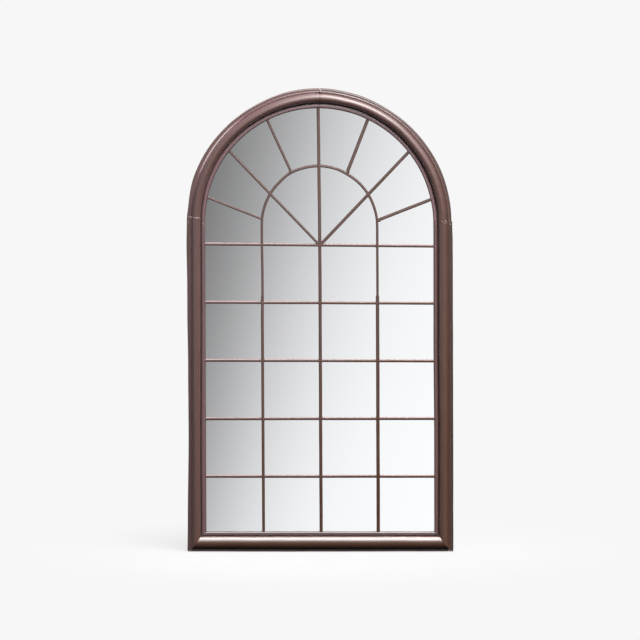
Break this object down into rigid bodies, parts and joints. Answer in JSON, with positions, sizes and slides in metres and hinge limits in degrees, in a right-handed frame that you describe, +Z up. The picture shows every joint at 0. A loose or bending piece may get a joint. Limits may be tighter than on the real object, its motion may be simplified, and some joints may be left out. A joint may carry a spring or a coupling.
{
  "type": "garden mirror",
  "caption": "Arched garden mirror made like a window: a hollow rolled steel frame, welded glazing bars over one sheet of mirror, and a backed rear with hanging rings.",
  "frame": {"origin": "middle of the base: half the width, half the depth, underside of the bottom rail", "axes": "+Z up the mirror, +Y to the wall behind it, -Y the mirrored front, +X to the right as seen from the front"},
  "size_m": [0.75, 0.037, 1.31],
  "materials": {
    "painted_steel": "semi-gloss dark bronze paint, slightly mottled",
    "mirror": "silvered float glass",
    "backing_board": "dark hardboard",
    "plated_steel": "dull zinc plate",
    "ring_wire": "plated wire",
    "rivets": "plain"
  },
  "bodies": {
    "root": {"left_stile": "painted_steel", "right_stile": "painted_steel", "bottom_rail": "painted_steel", "arch_left": "painted_steel", "arch_right": "painted_steel", "centre_bar": "painted_steel", "left_bar": "painted_steel", "right_bar": "painted_steel", "hoop": "painted_steel", "rail_1": "painted_steel", "rail_2": "painted_steel", "rail_3": "painted_steel", "rail_4": "painted_steel", "rail_5": "painted_steel", "diagonal_left": "painted_steel", "diagonal_right": "painted_steel", "spoke_left_lower": "painted_steel", "spoke_left_upper": "painted_steel", "spoke_right_upper": "painted_steel", "spoke_right_lower": "painted_steel", "mirror_glass": "mirror", "backing_board": "backing_board", "button_rivet_left_lower": "rivets", "button_rivet_left_upper": "rivets", "button_rivet_base_left": "rivets", "button_rivet_arch_left": "rivets", "button_rivet_right_lower": "rivets", "button_rivet_right_upper": "rivets", "button_rivet_base_right": "rivets", "button_rivet_arch_right": "rivets", "hanger_rivet_left_upper": "rivets", "hanger_rivet_left_lower": "rivets", "hanger_rivet_right_upper": "rivets", "hanger_rivet_right_lower": "rivets", "hanger_strap_left": "plated_steel", "hanger_strap_right": "plated_steel"},
    "turn_button_left_lower": {"turn_button_left_lower": "plated_steel"},
    "turn_button_left_upper": {"turn_button_left_upper": "plated_steel"},
    "turn_button_base_left": {"turn_button_base_left": "plated_steel"},
    "turn_button_arch_left": {"turn_button_arch_left": "plated_steel"},
    "turn_button_right_lower": {"turn_button_right_lower": "plated_steel"},
    "turn_button_right_upper": {"turn_button_right_upper": "plated_steel"},
    "turn_button_base_right": {"turn_button_base_right": "plated_steel"},
    "turn_button_arch_right": {"turn_button_arch_right": "plated_steel"},
    "hanger_ring_left": {"hanger_ring_left": "ring_wire"},
    "hanger_ring_right": {"hanger_ring_right": "ring_wire"}
  },
  "joints": [
    {"name": "turn_left_lower", "type": "hinge", "parent": "root", "child": "turn_button_left_lower", "pos_m": [-0.336, 0.01315, 0.187], "axis": [0, 1, 0], "continuous": true},
    {"name": "turn_left_upper", "type": "hinge", "parent": "root", "child": "turn_button_left_upper", "pos_m": [-0.336, 0.01315, 0.561], "axis": [0, 1, 0], "continuous": true},
    {"name": "turn_base_left", "type": "hinge", "parent": "root", "child": "turn_button_base_left", "pos_m": [-0.18, 0.01315, 0.039], "axis": [0, 1, 0], "continuous": true},
    {"name": "turn_arch_left", "type": "hinge", "parent": "root", "child": "turn_button_arch_left", "pos_m": [-0.21598, 0.01315, 1.19239], "axis": [0, 1, 0], "continuous": true},
    {"name": "turn_right_lower", "type": "hinge", "parent": "root", "child": "turn_button_right_lower", "pos_m": [0.336, 0.01315, 0.187], "axis": [0, 1, 0], "continuous": true},
    {"name": "turn_right_upper", "type": "hinge", "parent": "root", "child": "turn_button_right_upper", "pos_m": [0.336, 0.01315, 0.561], "axis": [0, 1, 0], "continuous": true},
    {"name": "turn_base_right", "type": "hinge", "parent": "root", "child": "turn_button_base_right", "pos_m": [0.18, 0.01315, 0.039], "axis": [0, 1, 0], "continuous": true},
    {"name": "turn_arch_right", "type": "hinge", "parent": "root", "child": "turn_button_arch_right", "pos_m": [0.21598, 0.01315, 1.19239], "axis": [0, 1, 0], "continuous": true},
    {"name": "swing_left", "type": "hinge", "parent": "root", "child": "hanger_ring_left", "pos_m": [-0.336, 0.01535, 0.8], "axis": [1, 0, 0], "range_deg": [0, 180]},
    {"name": "swing_right", "type": "hinge", "parent": "root", "child": "hanger_ring_right", "pos_m": [0.336, 0.01535, 0.8], "axis": [1, 0, 0], "range_deg": [0, 180]}
  ]
}
